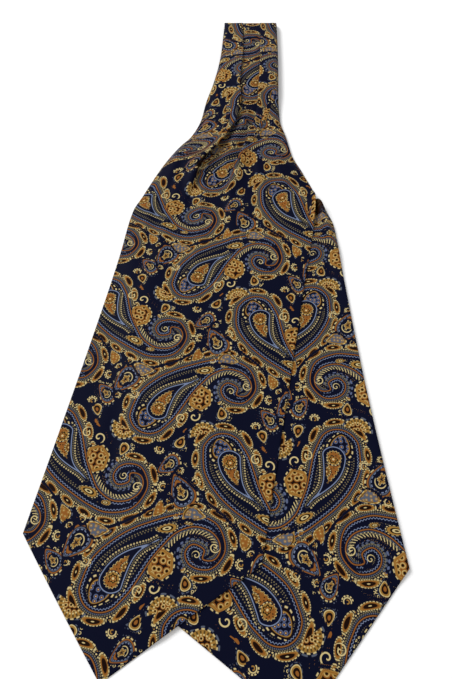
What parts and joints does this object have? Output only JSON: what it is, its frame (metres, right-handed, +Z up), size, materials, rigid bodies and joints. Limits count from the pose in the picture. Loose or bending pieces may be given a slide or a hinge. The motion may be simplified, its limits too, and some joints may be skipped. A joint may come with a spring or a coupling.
{
  "type": "silk cravat",
  "caption": "Printed silk day cravat, folded in half at its pleated neckband and laid flat, its pointed front blade over the under blade.",
  "frame": {"origin": "on the surface that the cravat lies on, at the middle of its length and width", "axes": "+X to the right, +Y from the pointed ends up to the fold of the neckband, +Z up"},
  "size_m": [0.2379, 0.6178, 0.009],
  "materials": {
    "front_silk": "navy silk twill with a gold, rust, cream and blue paisley print, soft sheen",
    "under_silk": "navy silk twill with a gold, rust, cream and blue paisley print, soft sheen",
    "band_silk": "navy silk twill with a gold, rust, cream and blue paisley print, soft sheen"
  },
  "bodies": {
    "root": {"front_blade": "front_silk", "under_blade": "under_silk", "band_under_layers": "band_silk"}
  },
  "joints": []
}
